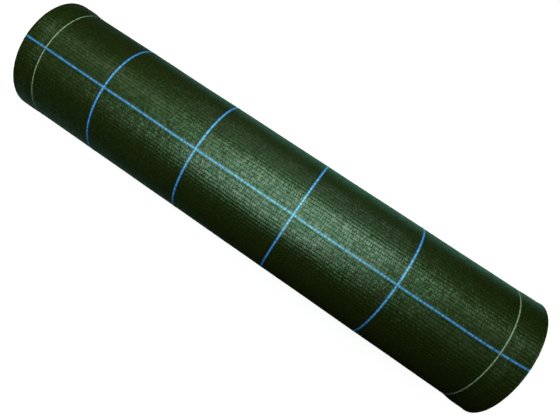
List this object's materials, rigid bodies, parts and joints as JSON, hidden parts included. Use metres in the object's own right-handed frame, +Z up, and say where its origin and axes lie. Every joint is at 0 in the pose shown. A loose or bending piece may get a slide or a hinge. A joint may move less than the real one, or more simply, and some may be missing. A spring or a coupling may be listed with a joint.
{
  "type": "roll of weed barrier sheet",
  "caption": "Roll of woven weed barrier sheet on a paper tube, lying on its side, with guide tapes woven in and a free end that peels open.",
  "frame": {"origin": "centre of the underside, on the floor that the roll lies on, halfway along it", "axes": "+X along the roll and across the sheet's width, +Z up, and the free end lies on the +Y side"},
  "size_m": [1.01, 0.2272, 0.2257],
  "materials": {
    "woven_sheet": "dark olive green plain weave of flat slit-film tapes, softly glossy",
    "wound_edges": "cut and folded edges of many turns of the same sheet",
    "blue_tape": "bright blue slit-film tape, softly glossy",
    "pale_tape": "pale grey-green slit-film tape",
    "paper_tube": "spirally wound brown paper"
  },
  "bodies": {
    "roll": {"core_tube": "paper_tube", "packed_turns": "wound_edges", "outer_turn": "woven_sheet", "blue_warp_tape_1": "blue_tape", "blue_warp_tape_2": "blue_tape", "blue_warp_tape_3": "blue_tape", "blue_warp_tape_4": "blue_tape", "pale_selvage_tape_left": "pale_tape", "pale_selvage_tape_right": "pale_tape", "blue_weft_tape_1": "blue_tape", "blue_weft_tape_2": "blue_tape", "blue_weft_tape_3": "blue_tape", "blue_weft_tape_4": "blue_tape"},
    "free_end": {"free_end": "woven_sheet", "blue_warp_tail_1": "blue_tape", "blue_warp_tail_2": "blue_tape", "blue_warp_tail_3": "blue_tape", "blue_warp_tail_4": "blue_tape", "pale_selvage_tail_left": "pale_tape", "pale_selvage_tail_right": "pale_tape"}
  },
  "joints": [
    {"name": "free_end_peel", "type": "hinge", "parent": "roll", "child": "free_end", "pos_m": [0, 0.11334, 0.105], "axis": [1, 0, 0], "range_deg": [0, 120], "stiffness_Nm_per_rad": 0.02, "springref_deg": -14.32}
  ]
}
